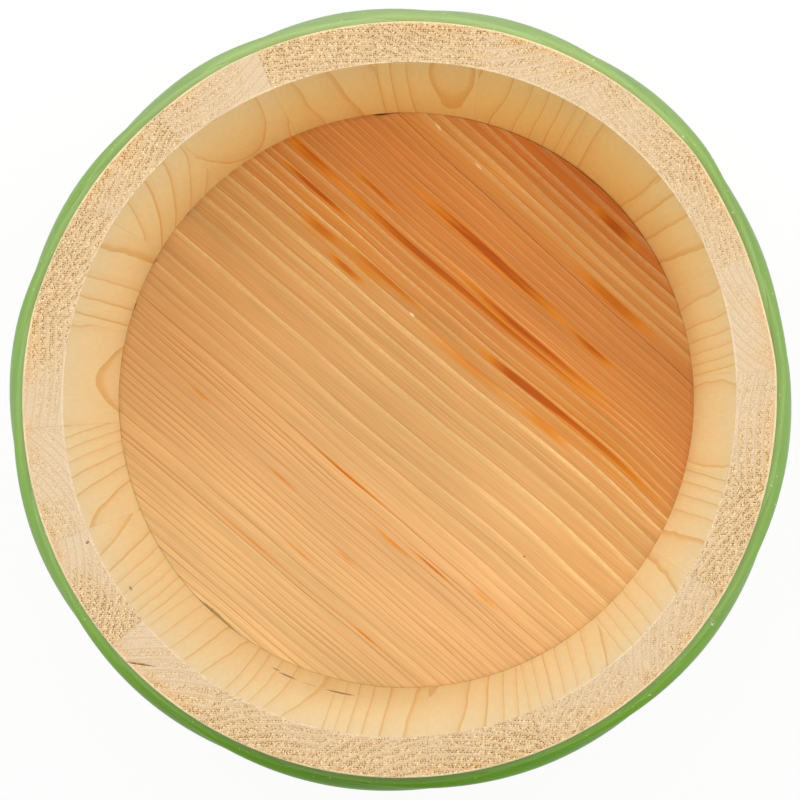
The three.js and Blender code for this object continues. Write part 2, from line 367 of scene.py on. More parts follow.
for peg in PLANK_PEGS:
    peg_place = Matrix.Rotation(-GRAIN_ANGLE, 3, "Z") @ Vector(peg_sizes(peg)[0])
    peg_seat = add(tree, "GeometryNodeTransform", hole, into={"Translation": peg_place})
    mesh = add(tree, "GeometryNodeMeshBoolean", mesh, peg_seat, operation="DIFFERENCE", solver="MANIFOLD")
close_tree(tree, mesh, bottom_wood, GRAIN_ANGLE)

# Where the year rings end across the grain, counted down the board: narrow at both edges and wide between.
RING_EDGES = [
    112, 104.5, 99, 95.5, 91.5, 87.5, 83.5, 76, 73, 70, 66.5, 64, 61.8, 59.8, 57.5, 54.5, 52.5, 50.2, 47.5,
    45.2, 42.4, 38.2, 35.4, 31, 26.2, 20.6, 14.4, 9.2, 2.6, -7.4, -16.4, -22.2, -27, -30.2, -35.6, -39.6,
    -41.2, -43.4, -46.6, -48.8, -53, -56, -58.4, -60.3, -63, -65, -67, -68.8, -72.4, -77.4, -79, -83,
    -85.5, -87.5, -89.5, -92, -95.6, -99, -101.5, -105, -112,
]
# Rings that end in a darker line: its place across the grain and how much darker, and how wide it is.
STRONG_LINES = [(76, 1.3), (35.4, 0.4), (-35.6, 0.5), (-39.6, 0.25), (-77.4, 0.25)]
STRONG_WIDTH = 1.2
# How far the grain runs across for each millimetre along it, at places across the board: it fans out.
FAN_PLACES = [
    (-112, -0.004), (-80, -0.006), (-60, -0.02), (-30, -0.02), (-16, -0.012), (0, -0.008), (20, -0.006),
    (42, -0.014), (58, -0.03), (80, -0.05), (112, -0.05),
]
# How far the grain bends aside at places along it, and the share of this at places across.
BEND_PLACES = [(-112, 0.5), (-55, 0), (5, -0.7), (62, 1.1), (112, -1.6)]
BEND_SHARES = [(-32, 0.15), (-18, 1), (34, 1), (50, 0.5), (70, 0.2)]
# Small waves in the grain: their height, their length along and across, and where they start.
GRAIN_WAVES = [(0.15, 13, 31, 0), (0.1, 7, 17, 1)]
# A ring's raised edge: how far it falls off after and before the edge, and how much lower the rest lies.
RIDGE_AFTER = 0.9
RIDGE_BEFORE = 0.5
RIDGE_SUNK = 0.4
# How proud the ring edges stand, from nothing to 1, at places across the grain.
PROUD_PLACES = [
    (-110, 0.12), (-30, 0.15), (-20, 0.6), (5, 0.75), (28, 0.7), (36, 0.5), (46, 0.4), (52, 0.2), (76, 0.15),
    (82, 0.4), (110, 0.4),
]
# The share of a ring that its pale edge takes, in the same way, and the edge's least and greatest width.
EDGE_PLACES = [(-110, 0.4), (-25, 0.4), (-16, 0.35), (28, 0.4), (76, 0.5), (82, 0.8), (110, 0.8)]
EDGE_LIMITS = (0.8, 3)
# How dark the ring lines are, in the same way.
LINE_PLACES = [
    (-110, 0.65), (-40, 0.6), (-22, 0.4), (-12, 0.2), (15, 0.25), (30, 0.5), (64, 0.5), (70, 0.35),
    (110, 0.4),
]
# Resin streaks: along and across the grain from the board's middle, half length, half width and strength.
RESIN_STREAKS = [
    (18, 100.3, 10, 1.7, 1.0), (36, 79.4, 17, 1.8, 0.8), (-10, 61.2, 29, 1.5, 1.3),
    (-12, 59.3, 26, 1.2, 0.4), (41, 59.8, 10, 1.3, 0.9), (-58, 51.1, 12, 0.8, 0.8), (20, 47.7, 32, 1.4, 1.1),
    (-34, 44.5, 30, 1.2, 1.1), (18, 44.8, 36, 0.9, 0.9), (-86, 44.8, 13, 1.6, 0.8), (-76, 37.0, 14, 0.8, 1.3),
    (31, 32.6, 16, 1.5, 1.4), (64, 33, 27, 1.1, 0.9), (-36, 29.8, 20, 0.9, 0.8), (-65, 27.6, 9, 1.3, 0.7),
    (-43, 27, 9, 2.0, 0.4), (-66, 25, 11, 1.4, 0.35), (-49, 22.6, 8, 1.1, 0.8), (12, 24.8, 25, 1.8, 0.45),
    (47, 25, 12, 1.8, 0.45), (22, 25.2, 46, 0.9, 0.1), (31, -43.9, 11, 0.7, 0.45), (70, -36.6, 8, 0.9, 0.4),
    (48, -40.8, 9, 0.35, 0.8), (-60, -49.2, 6, 0.8, 0.4), (0, -35.4, 20, 0.45, 0.7), (21, -59.1, 7, 0.7, 0.4),
    (-17, -52.6, 8, 0.5, 0.4), (6, -68.8, 8, 0.4, 0.4), (-10, -77.6, 24, 0.5, 0.35), (45, -77.2, 7, 0.4, 0.5),
]
# Resin gathers in a line along the upper side of a streak: its width, place and share of the strength.
RESIN_SIDE = 0.5
RESIN_SIDE_PLACE = 0.8
RESIN_SIDE_SHARE = 0.4
# Nicks in the edge of the board: bearing and half width in degrees, and depth.
EDGE_NICKS = [(94.5, 2.0, 0.9), (229, 3.5, 0.8), (139.6, 0.6, 0.6), (151, 0.6, 0.6), (160.8, 0.6, 0.6)]
NICK_REACH = 4
# The board is painted paler at two ends of its edges and darker at the others, as painted light and shade, by
# this share for each mm x mm.
PAINTED_LIGHT_SLANT = 1.4e-5
# Broad patches where resin has washed into the wood, or where it is bleached: along and across the grain from
# the middle, half length, half width, share of resin, and how much paler.
BOARD_PATCHES = [
    (-85, -30, 50, 60, 0.24, 0), (-62, 33, 30, 6, 0.3, 0), (62, 33.5, 32, 6, 0.6, 0),
    (55, 50, 25, 10, 0.18, 0), (90, 0, 20, 25, 0.12, 0), (-25, 62, 45, 12, 0, 0.12),
    (20, -100, 60, 8, 0, 0.08),
]


def between(values, places):
    """A value at each place, easing from one given place to the next."""
    given, amounts = np.array(places).T
    step = np.clip(np.searchsorted(given, values) - 1, 0, len(given) - 2)
    share = np.clip((values - given[step]) / (given[step + 1] - given[step]), 0, 1)
    share = share * share * (3 - 2 * share)
    return amounts[step] + share * (amounts[step + 1] - amounts[step])


def in_grain(points):
    """How far points lie along and across the grain."""
    grain_x, grain_y = math.cos(GRAIN_ANGLE), math.sin(GRAIN_ANGLE)
    return (points[:, 0] * grain_x + points[:, 1] * grain_y, points[:, 1] * grain_x - points[:, 0] * grain_y)


def grow(name, tree, values):
    """Makes a piece from a tree with these sizes, as a plain mesh."""
    piece = bpy.data.objects.new(name, bpy.data.meshes.new(name))
    bpy.context.scene.collection.objects.link(piece)
    modifier = piece.modifiers.new("shape", "NODES")
    modifier.node_group = tree
    for item in tree.interface.items_tree:
        if item.in_out == "INPUT":
            modifier[item.identifier] = float(values[item.name])
    graph = bpy.context.evaluated_depsgraph_get()
    mesh = bpy.data.meshes.new_from_object(piece.evaluated_get(graph))
    piece.modifiers.clear()
    piece.data = mesh
    return piece


ring_edges = np.array(RING_EDGES[::-1])
for plank in PLANKS:
    plank_across = in_grain(points_of(plank))[1]
    low_edge = plank_across.min() - (SOLID_GAP - JOINT_GAP) / 2
    high_edge = plank_across.max() + (SOLID_GAP - JOINT_GAP) / 2
    piece = grow(plank.replace("bottom", "planed"), tree, {
        "Low Edge": low_edge, "High Edge": high_edge, "Along Steps": 2 * tongue_radius / GRAIN_STEP,
        "Across Steps": (high_edge - low_edge) / RIDGE_STEP, "Underside": floor_under,
        "Tongue Low": tongue_low, "Tongue Top": tongue_top, "Floor Top": floor_top,
        "Under Radius": under_radius, "Bevel Radius": bevel_radius, "Tongue Radius": tongue_radius,
        "Floor Radius": floor_radius, **peg_sizes(PLANK_PEGS[0])[1]})
    places = np.empty(3 * len(piece.data.vertices), np.float32)
    piece.data.vertices.foreach_get("co", places)
    places = places.reshape(-1, 3) / MM
    x, y = in_grain(places)
    level_y = y - x * between(y, FAN_PLACES) - between(x, BEND_PLACES) * between(y, BEND_SHARES)
    for swell, length_along, length_across, start in GRAIN_WAVES:
        level_y -= swell * np.sin(x / length_along + y / length_across + start)
    below = np.clip(np.searchsorted(ring_edges, level_y, side="right"), 1, len(ring_edges) - 1)
    width = ring_edges[below] - ring_edges[below - 1]
    ring = len(ring_edges) - below + (ring_edges[below] - level_y) / width
    proud = between(level_y, PROUD_PLACES)
    line = between(level_y, LINE_PLACES)
    for strong, dark in STRONG_LINES:
        line += dark * np.exp(-((level_y - strong) / STRONG_WIDTH) ** 2)
    resin = np.zeros(len(places))
    for streak_x, streak_y, length, half_width, strength in RESIN_STREAKS:
        along = strength * np.exp(-((x - streak_x) / length) ** 2)
        resin += along * np.exp(-((level_y - streak_y) / half_width) ** 4)
        side_y = streak_y + RESIN_SIDE_PLACE * half_width
        resin += RESIN_SIDE_SHARE * along * np.exp(-((level_y - side_y) / RESIN_SIDE) ** 2)
    wash = np.zeros(len(places))
    # Painted light and shade across the board, with bleached patches laid in below.
    bleach_and_painted_light = 1 - PAINTED_LIGHT_SLANT * x * y
    for patch_x, patch_y, length, half_width, share, bleach in BOARD_PATCHES:
        patch = np.exp(-((x - patch_x) / length) ** 2 - ((y - patch_y) / half_width) ** 2)
        wash += share * patch
        bleach_and_painted_light += bleach * patch
    within = ring - np.floor(ring)
    resin *= 0.7 + 0.3 * within
    after_edge = within * width
    before_edge = width - after_edge
    ridge = np.maximum(np.exp(-(after_edge / RIDGE_AFTER) ** 2), np.exp(-(before_edge / RIDGE_BEFORE) ** 2))
    on_top = places[:, 2] > floor_top - LEVEL
    places[:, 2] += on_top * RIDGE_HEIGHT * proud * (ridge - RIDGE_SUNK)
    bearing = np.degrees(np.arctan2(places[:, 1], places[:, 0])) % 360
    rim_share = np.clip(1 - (floor_radius - np.hypot(places[:, 0], places[:, 1])) / NICK_REACH, 0, 1)
    at_floor = places[:, 2] > tongue_top + LEVEL
    for nick, half, depth in EDGE_NICKS:
        chip = depth * np.exp(-((bearing - nick) / half) ** 2) * (0.75 + 0.25 * np.sin(bearing * 9))
        places[:, :2] *= (1 - at_floor * rim_share * chip / floor_radius)[:, None]
    piece.data.vertices.foreach_set("co", (places * MM).astype(np.float32).ravel())
    marks = {
        "ring": ring, "ring_width": width, "over_board": (y + BOARD_SPAN) / (2 * BOARD_SPAN),
        "proud_edge": proud, "ring_line": line, "resin": np.clip(resin, 0, 1), "bleach_and_painted_light": bleach_and_painted_light,
        "wash": np.clip(wash, 0, 1),
        "edge_width": np.clip(width * between(level_y, EDGE_PLACES), *EDGE_LIMITS)}
    for name, values in marks.items():
        attribute = piece.data.attributes.new(name, "FLOAT", "POINT")
        attribute.data.foreach_set("value", values.astype(np.float32))
    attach(piece, "root")
    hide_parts(plank)

# Pegs: split bamboo pins hidden in the joints of the planks and of the staves, shaped in the solids.
# The cut fibre bundles of bamboo show as small brown specks in straw-coloured flesh.
BAMBOO_FLESH = "#D9C48A"
BAMBOO_FIBRE = "#B08F52"
bamboo, tree, shader = new_material("split_bamboo")
place = add(tree, "TexCoord").outputs["Object"]
bundles = add(tree, "TexNoise", place, into={"Scale": 1.2 / MM, "Detail": 2})
flesh = add(tree, "ValToRGB", bundles)
set_stops(flesh, [(0.35, BAMBOO_FIBRE), (0.55, BAMBOO_FLESH)])
bump = add(tree, "Bump", into={"Strength": 0.3, "Distance": 0.2 * MM, "Height": bundles})
set_shader(tree, shader, {"Base Color": flesh, "Roughness": 0.6, "Normal": bump})
for name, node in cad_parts.items():
    if "_peg_" in name:
        node.data.materials.clear()
        node.data.materials.append(bamboo)

# Staves: tapered wedges of pale softwood, split from different boards, so that each shows its own year rings.
# The inside is planed smooth. The rim is left as it was sawn, with spring wood torn in rows along the rings.
# The hoops draw the staves together, and their groove holds the bottom's tongue.
STAVE_COUNT = 20
FIRST_JOINT = 4.5
STAVE_ANGLE = 360 / STAVE_COUNT
# The room in the groove, and the eased outer edge of the rim, down and in.
GROOVE_CLEARANCE = 0.1
RIM_EASE = 0.45
RIM_ARRIS = 0.35
# How a stave is divided: across it, through the wall, in levels up to the groove's top and in those above.
# The groove's levels spread apart towards the outside by the fan.
ACROSS_STEPS = 150
THROUGH_STEPS = 56
FOOT_LEVELS = 6
WALL_LEVELS = 40
GROOVE_FAN = 1.5
# How deep the rim is torn, and how many pits and tufts lie in a millimetre.
TEAR_DEPTH = 0.3
GRIT_PER_MM = 1.35
# How far ring lines wobble, as a share of a ring, and how often in a millimetre across and up the stave; how
# often patches of the rim are more torn, and how much more; and how long before its end a ring line is seen.
RING_WOBBLE = 0.3
WOBBLE_PER_MM = (0.03, 0.009)
PATCHES_PER_MM = 0.12
PATCH_STRENGTH = 0.9
LINE_BEFORE_END = 0.05
# What sets each stave's noise apart from the next one's, for each radian round the tub.
WOBBLE_SHIFT = 50
PATCH_SHIFT = 100

# The tub is a little out of round: waves per round, height in millimetres at the rim, and where each peaks.
OUT_OF_ROUND = [(2, 0.70, 51), (3, 0.47, 52), (4, 0.34, 48)]
# Two flats shaved on the outside: bearing and half width in degrees, and depth.
OUTSIDE_FLATS = [(22.5, 18, 1.4), (143, 26, 0.9)]

# Each board: the pith's place across the stave and out from its inner face; how far the pith moves out, bows
# out and leans across from the rim to the floor; the rings' width; an angle and a share of the depth where a
# ring line shows; how torn the rim is at the stave's two sides; and how much its colour is painted warmer and
# darker, as painted shade on the staves on the side away from the light.
BOARDS = [
    (26, 52, -0.8, 0, 0, 2.6, 1.4, 0, 0.2, 0.25, 0.45),
    (82, -400, 0, 0, 2.4, 2.02, 1.1, 0, 0.35, 0.8, 0.7),
    (-8, 82, 0.63, 0, 2.3, 2.1, 4.25, 0, 0.7, 0.3, 0.95),
    (44, 72, 2.0, 0, 0, 3.6, -0.6, 0, 0.4, 0.6, 1),
    (-14.5, 73, 0, 0.83, 0, 2.22, -0.8, 0, 0.9, 1.1, 0.85),
    (21, -140, 1.05, 0, 0, 2.09, -0.7, 0, 1.1, 0.9, 0.65),
    (6.4, 70, 1.57, 1.68, -4.2, 3.0, -6, 0, 0.1, 0.7, 0.45),
    (-38, -116, 1.0, 4.3, 0, 2.8, 0.2, 0, 0.9, 0.7, 0.25),
    (-62, 220, 0.27, 0, 0, 2.5, 0.9, 0, 0.9, 1.0, 0.1),
    (3, 200, 0, -1.64, 0, 2.8, 0.4, 0.61, 0.9, 0.1, 0),
    (36, 75, -3.1, 0, 0, 2.5, -0.1, 0, 0.3, 0.35, 0),
    (-36, 60, 2.6, 0, 0, 2.65, -1.1, 0, 0.1, 1.1, 0),
    (57, 80, 2.0, 0, 0, 3.8, 0.8, 0, 0.2, 0.6, 0),
    (30, 70, 4, -2, 0, 2.75, -1.6, 0, 0.8, 0.7, 0),
    (38, 78, 0.6, 0, 0, 2.8, 0.9, 0, 0.7, 0.7, 0),
    (-42, 125, -1.7, 0, 0, 2.6, 0.9, 0, 0.8, 1.1, 0),
    (100, 150, 2.4, 0, 0, 2.95, 0.2, 0, 0.8, 0.3, 0),
    (32, 55, 0.9, 0, 0, 3.0, 1.4, 0, 0.4, 0.5, 0),
    (-36, 110, 0.42, 0, 0, 2.25, 1.1, 0, 0.8, 1.1, 0.05),
    (0.84, 120, -1.31, 1.42, -1.64, 2.9, -6.75, 0, 0.7, 0.15, 0.2),
]

# Small old damage: bearing and height of its middle, its half sizes out from the axis, along and up, and how
# pale its frayed fringe is painted, as a painted highlight on its torn edge, and how dark its middle is,
# partly darker wood and partly painted shadow in the tear. A scrape low on the wall, torn open in three
# places, and a chip under the rim.
WALL_DAMAGE = [
    (247, 86, 1.5, 5, 5.5, 0.8, 0.8), (244.4, 80, 1.5, 2.4, 4, 0.6, 0.7), (257.5, 87, 1.5, 8, 5.5, 0.8, 0.8),
    (251.4, 87, 1.5, 4, 4, 0.8, 0.2), (265, 84, 1.5, 9, 2.5, 0.8, 0), (214.9, 215, 1.5, 1.5, 9, 0.5, 0.7),
]
# A dent in the rim and a crack from its outer edge: radius and bearing of its middle, its turn from the
# tangent, and its half sizes, fringe and middle as above; and how deep they go.
RIM_DAMAGE = [
    (118.2, 204.6, 20, 1.3, 0.7, 2.0, 0.3, 0.85),
    (127.6, 225.5, 36, 0.42, 8, 2.0, 0, 0.9),
]
RIM_DAMAGE_DEPTH = 0.4

# Pale softwood: on the planed face soft brown lines end each ring; on the sawn rim dark pits sit among pale
# tufts, as painted shade in the pits and painted light on the tufts, matched to the torn relief, with a pale
# burr along its edges that is partly a painted highlight where the arrises catch the light, and golden
# weathered wood near the outer one.
STAVE_SPRING = "#FDEFC9"
STAVE_LATE = "#F9E2B4"
STAVE_SUMMER = "#E6BD70"
# Painted shade: multiplies the colour of the staves on the side away from the light, by each board's share.
STAVE_SHADE_WARM = "#FFF2D2"
SAWN_FACE = "#CEB696"
SAWN_TORN = "#C9A56C"
SAWN_LINE = "#C09A66"
SAWN_PIT_SHADE = "#7C5220"
SAWN_TUFT_LIGHT = "#F8E9C2"
SAWN_WARM = "#D3A468"
SAWN_BURR_AND_HIGHLIGHT = "#F8ECCC"
DAMAGE_AND_SHADE = "#7A4414"


def torn_grit(tree, place, per_unit):
    """Torn spring wood, alike in a material and a shape: -1 in a pit, up to 0.8 on a tuft, 0 between."""
    cells = add(tree, "TexVoronoi", place, voronoi_dimensions="2D",
                into={"Scale": per_unit, "Randomness": 0.9})
    near = add(tree, "MapRange", cells.outputs["Distance"], 0.4, 0.1, 0, 1)
    pits = add(tree, "MapRange", cells.outputs["Color"], 0.5, 0.6, -1, 0)
    tufts = add(tree, "MapRange", cells.outputs["Color"], 0.6, 0.7, 0, 0.8)
    either = add(tree, "Math", pits, tufts)
    return add(tree, "Math", near, either, operation="MULTIPLY")


def with_waves(tree, radius, bearing, rise):
    """A radius with the tub's waves added, growing towards the rim."""
    for waves, swell, peak in OUT_OF_ROUND:
        start = -waves * math.radians(peak)
        phase = add(tree, "Math", bearing, waves, start, operation="MULTIPLY_ADD")
        crest = add(tree, "Math", phase, operation="COSINE")
        wave = add(tree, "Math", crest, swell, operation="MULTIPLY")
        radius = add(tree, "Math", wave, rise, radius, operation="MULTIPLY_ADD")
    return radius


def with_flats(tree, radius, bearing):
    """A radius of the outside with its flats taken off."""
    for flat, half, depth in OUTSIDE_FLATS:
        off_flat = add(tree, "Math", bearing, -math.radians(flat))
        facing_flat = add(tree, "Math", off_flat, operation="COSINE")
        shaved = add(tree, "MapRange", facing_flat, math.cos(math.radians(half)), 1, 0, depth,
                     interpolation_type="SMOOTHSTEP")
        radius = add(tree, "Math", radius, shaved, operation="SUBTRACT")
    return radius


stave_wood, tree, shader = new_material("planed_and_sawn_softwood")
ring, ring_width, sawn = marks_of(tree, "ring", "ring_width", "sawn")
torn, through, shade_warmth = marks_of(tree, "torn", "through", "shade_warmth")
place = add(tree, "TexCoord").outputs["Object"]
fibre = stretched_noise(tree, place, (900, 900, 25), 3)
within = add(tree, "Math", ring, operation="FRACT")
number = add(tree, "Math", ring, operation="FLOOR")
chance = add(tree, "TexWhiteNoise", number, noise_dimensions="1D")
to_end = add(tree, "Math", 1, within, operation="SUBTRACT")
before_end = add(tree, "Math", to_end, ring_width, operation="MULTIPLY")
late = add(tree, "MapRange", before_end, 1.2, 0.2, 0, 0.7)
line_width = add(tree, "MapRange", chance, 0, 1, 0.28, 0.5)
line = add(tree, "MapRange", before_end, line_width, 0.1, 0, 1, interpolation_type="SMOOTHSTEP")
line_chance = add(tree, "MapRange", chance, 0, 1, 0.34, 0.7)
line_there = add(tree, "Math", line, line_chance, operation="MULTIPLY")
lined = laid_over(tree, linear(STAVE_SPRING), (late, STAVE_LATE), (line_there, STAVE_SUMMER))
# Painted shade on the staves on the side away from the light.
shade_warmed = add(tree, "Mix", shade_warmth, lined, linear(STAVE_SHADE_WARM), data_type="RGBA", blend_type="MULTIPLY")
cloud = add(tree, "TexNoise", place, into={"Scale": 0.07 / MM, "Detail": 2})
outwards = add(tree, "MapRange", through, 0.7, 0.97, 0, 0.24)
cloud_out = add(tree, "Math", cloud, outwards)
weathered = add(tree, "MapRange", cloud_out, 0.6, 0.9, 0, 0.5)
golden = add(tree, "MapRange", torn, 0.25, 0.9, 0, 0.6)
end_line = add(tree, "MapRange", before_end, 0.9, 0.1, 0, 0.5)
rough = torn_grit(tree, place, GRIT_PER_MM / MM)
tuft = add(tree, "Math", rough, torn, operation="MULTIPLY")
# Painted shade in the pits and painted light on the tufts, laid on the same torn relief as the rim's shape.
pit_shade = add(tree, "MapRange", tuft, -0.08, -0.7, 0, 0.95)
pale = add(tree, "MapRange", tuft, 0.08, 0.6, 0, 0.8)
tufted = laid_over(tree, linear(SAWN_FACE), (golden, SAWN_TORN), (weathered, SAWN_WARM),
                   (end_line, SAWN_LINE), (pit_shade, SAWN_PIT_SHADE), (pale, SAWN_TUFT_LIGHT))
dust = add(tree, "TexNoise", place, into={"Scale": 2.2 / MM, "Detail": 1})
dusty = add(tree, "MapRange", dust, 0.3, 0.7, 0.88, 1.08)
dusted = add(tree, "Mix", 1, tufted, dusty, data_type="RGBA", blend_type="MULTIPLY")
# A pale burr along the rim's edges, partly a painted highlight where the arrises catch the light.
outer_burr_highlight = add(tree, "MapRange", through, 0.965, 0.99, 0, 0.45)
inner_burr_highlight = add(tree, "MapRange", through, 0.07, 0.01, 0, 0.25)
burr_and_highlight = add(tree, "Math", outer_burr_highlight, inner_burr_highlight, operation="MAXIMUM")
burr_ragged = add(tree, "MapRange", cloud, 0.35, 0.6, 0.2, 1)
burr_highlight_there = add(tree, "Math", burr_and_highlight, burr_ragged, operation="MULTIPLY")
sawn_face = laid_over(tree, dusted, (burr_highlight_there, SAWN_BURR_AND_HIGHLIGHT))
wood = add(tree, "Mix", sawn, shade_warmed, sawn_face, data_type="RGBA")
all_damage = [(foot_inside + wall_slope * row[1], row[1], row[0], 0, *row[2:]) for row in WALL_DAMAGE]
all_damage += [(row[0], tub_height, *row[1:]) for row in RIM_DAMAGE]
frayed = add(tree, "MapRange", dust, 0.3, 0.7, 0.5, 1.3)
for mark_radius, mark_height, mark_bearing, turn, half_out, half_along, half_up, fringe, dark in all_damage:
    mark_angle = math.radians(mark_bearing)
    mark_middle = (mark_radius * math.cos(mark_angle), mark_radius * math.sin(mark_angle), mark_height)
    depth = damage_depth(tree, place, mark_middle, mark_angle + math.radians(turn),
                         (half_out, half_along, half_up), frayed)
    # Painted highlight on the torn edge, and painted shadow together with darker wood in the middle.
    fringe_highlight = add(tree, "MapRange", depth, 0, 0.1, 0, fringe)
    dark_and_shaded = add(tree, "MapRange", depth, 0.2, 0.5, 0, dark, interpolation_type="SMOOTHSTEP")
    wood = laid_over(tree, wood, (fringe_highlight, SAWN_BURR_AND_HIGHLIGHT), (dark_and_shaded, DAMAGE_AND_SHADE))
speck = add(tree, "MapRange", fibre, 0.3, 0.7, 0.97, 1.02)
tinted = add(tree, "Mix", 1, wood, speck, data_type="RGBA", blend_type="MULTIPLY")
gloss = add(tree, "MapRange", sawn, 0, 1, 0.58, 0.85)
bump = add(tree, "Bump", into={"Strength": 0.2, "Distance": 0.2 * MM, "Height": fibre})
set_shader(tree, shader, {
    "Base Color": tinted, "Specular IOR Level": 0.2, "Roughness": gloss, "Normal": bump})

tree, size = shape_tree("stave_shape", [
    "Facing", "Half Angle", "Rim Height", "Floor Height", "Foot Inside", "Slope", "Thickness", "Foot Chamfer",
    "Groove Low", "Groove Top", "Groove Depth", "Peg Height", "Peg Radius", "Peg Tip", "Peg Reach",
    "Peg Shoulder", "Pith Across", "Pith Out", "Pith Drift", "Pith Bow", "Pith Lean", "Ring Width",
    "Tear Left", "Tear Right", "Shade Warmth"])
LAST_LEVEL = FOOT_LEVELS + WALL_LEVELS
cube = add(tree, "GeometryNodeMeshCube", (1, 1, 1), ACROSS_STEPS, THROUGH_STEPS, LAST_LEVEL + 1)
spot = add(tree, "SeparateXYZ", add(tree, "GeometryNodeInputPosition"))
level_place = add(tree, "MapRange", spot.outputs["Z"], -0.5, 0.5, 0, LAST_LEVEL)
level = add(tree, "FunctionNodeFloatToInt", level_place, rounding_mode="ROUND")
at_foot = add(tree, "FunctionNodeCompare", level, 0, data_type="INT", operation="EQUAL")
at_rim = add(tree, "FunctionNodeCompare", level, LAST_LEVEL, data_type="INT", operation="EQUAL")
through = add(tree, "Math", spot.outputs["Y"], 0.5)
groove_sides = [size["Groove Low"], size["Groove Low"], size["Groove Top"], size["Groove Top"]]
fans = (-GROOVE_FAN, GROOVE_FAN, -GROOVE_FAN, GROOVE_FAN)
fanned_sides = [add(tree, "Math", side, fan) for side, fan in zip(groove_sides, fans)]
eased_rim = add(tree, "Math", size["Rim Height"], -RIM_EASE)
wall_place = add(tree, "MapRange", level_place, FOOT_LEVELS - 1, LAST_LEVEL - 1,
                 size["Groove Top"], eased_rim)
wall_height = add(tree, "Math", at_rim, RIM_EASE, wall_place, operation="MULTIPLY_ADD")
foot_place = add(tree, "Math", level_place, FOOT_LEVELS, operation="MINIMUM")
foot_level = add(tree, "FunctionNodeFloatToInt", foot_place, rounding_mode="ROUND")
inner_height = by_level(tree, foot_level, [0.0, size["Foot Chamfer"], *groove_sides, wall_height])
outer_height = by_level(tree, foot_level, [0.0, size["Foot Chamfer"], *fanned_sides, wall_height])
groove = by_level(tree, foot_level, [0.0, 0.0, 0.0, size["Groove Depth"], size["Groove Depth"], 0.0, 0.0])
height = add(tree, "Mix", through, inner_height, outer_height)
plain_inside = add(tree, "Math", height, size["Slope"], size["Foot Inside"], operation="MULTIPLY_ADD")
inside = add(tree, "Math", plain_inside, groove)
plain_outside = add(tree, "Math", plain_inside, size["Thickness"])
chamfer = add(tree, "Math", at_foot, size["Foot Chamfer"], operation="MULTIPLY")
arris = add(tree, "Math", at_rim, RIM_ARRIS, chamfer, operation="MULTIPLY_ADD")
half_width = add(tree, "Math", spot.outputs["X"], 2, operation="MULTIPLY")
angle = add(tree, "Math", half_width, size["Half Angle"], operation="MULTIPLY")
bearing = add(tree, "Math", angle, size["Facing"])
full_outside = add(tree, "Math", plain_outside, arris, operation="SUBTRACT")
outside = with_flats(tree, full_outside, bearing)
true_radius = add(tree, "Mix", through, inside, outside)
rise = add(tree, "Math", height, size["Rim Height"], operation="DIVIDE")
radius = with_waves(tree, true_radius, bearing, rise)
cosine = add(tree, "Math", angle, operation="COSINE")
sine = add(tree, "Math", angle, operation="SINE")
east = add(tree, "Math", bearing, operation="COSINE")
north = add(tree, "Math", bearing, operation="SINE")

# Year rings round the board's pith, counted out from it.
across = add(tree, "Math", true_radius, sine, operation="MULTIPLY")
facing_radius = add(tree, "Math", true_radius, cosine, operation="MULTIPLY")
out = add(tree, "Math", facing_radius, plain_inside, operation="SUBTRACT")
down = add(tree, "MapRange", height, size["Rim Height"], size["Floor Height"], 0, 1, clamp=False)
lean = add(tree, "Math", size["Pith Lean"], down, size["Pith Across"], operation="MULTIPLY_ADD")
bow = add(tree, "Math", size["Pith Bow"], down, size["Pith Drift"], operation="MULTIPLY_ADD")
drifted = add(tree, "Math", bow, down, size["Pith Out"], operation="MULTIPLY_ADD")
pith_x = add(tree, "Math", across, lean, operation="SUBTRACT")
pith_y = add(tree, "Math", drifted, out, operation="SUBTRACT")
pith_distance = add(tree, "VectorMath", add(tree, "CombineXYZ", pith_x, pith_y, 0), operation="LENGTH")
even_ring = add(tree, "Math", pith_distance, size["Ring Width"], operation="DIVIDE")
board_number = add(tree, "Math", size["Facing"], PATCH_SHIFT, operation="MULTIPLY")
board_place = add(tree, "CombineXYZ", across, out, board_number)
wobble_place = add(tree, "CombineXYZ", across, height, size["Facing"])
wobble_scaled = add(tree, "VectorMath", wobble_place, (*WOBBLE_PER_MM, WOBBLE_SHIFT), operation="MULTIPLY")
wobble = add(tree, "TexNoise", wobble_scaled, into={"Scale": 1, "Detail": 2})
wobble_off = add(tree, "Math", wobble, -0.5)
ring = add(tree, "Math", wobble_off, RING_WOBBLE, even_ring, operation="MULTIPLY_ADD")

# The sawn rim: spring wood torn into pits and tufts, more in some places than in others.
within = add(tree, "Math", ring, operation="FRACT")
row_angle = add(tree, "Math", within, math.pi, operation="MULTIPLY")
row = add(tree, "Math", row_angle, operation="SINE")
rim_x = add(tree, "Math", radius, east, operation="MULTIPLY")
rim_y = add(tree, "Math", radius, north, operation="MULTIPLY")
rim_place = add(tree, "CombineXYZ", rim_x, rim_y, 0)
patch = add(tree, "TexNoise", board_place, into={"Scale": PATCHES_PER_MM, "Detail": 1})
side = add(tree, "Math", spot.outputs["X"], 0.5)
tear = add(tree, "Mix", side, size["Tear Left"], size["Tear Right"])
patch_off = add(tree, "Math", patch, -0.5)
patched = add(tree, "Math", patch_off, PATCH_STRENGTH, tear, operation="MULTIPLY_ADD")
torn = add(tree, "MapRange", patched, 0.05, 1, 0.15, 1.35)
rowed = add(tree, "MapRange", row, 0.2, 0.85, 0.25, 1)
outwards = add(tree, "MapRange", through, 0, 1, 0.7, 1.1)
torn_out = add(tree, "Math", torn, outwards, operation="MULTIPLY")
strength = add(tree, "Math", torn_out, rowed, operation="MULTIPLY")
roughness = torn_grit(tree, rim_place, GRIT_PER_MM)
tuft = add(tree, "Math", roughness, strength, operation="MULTIPLY")
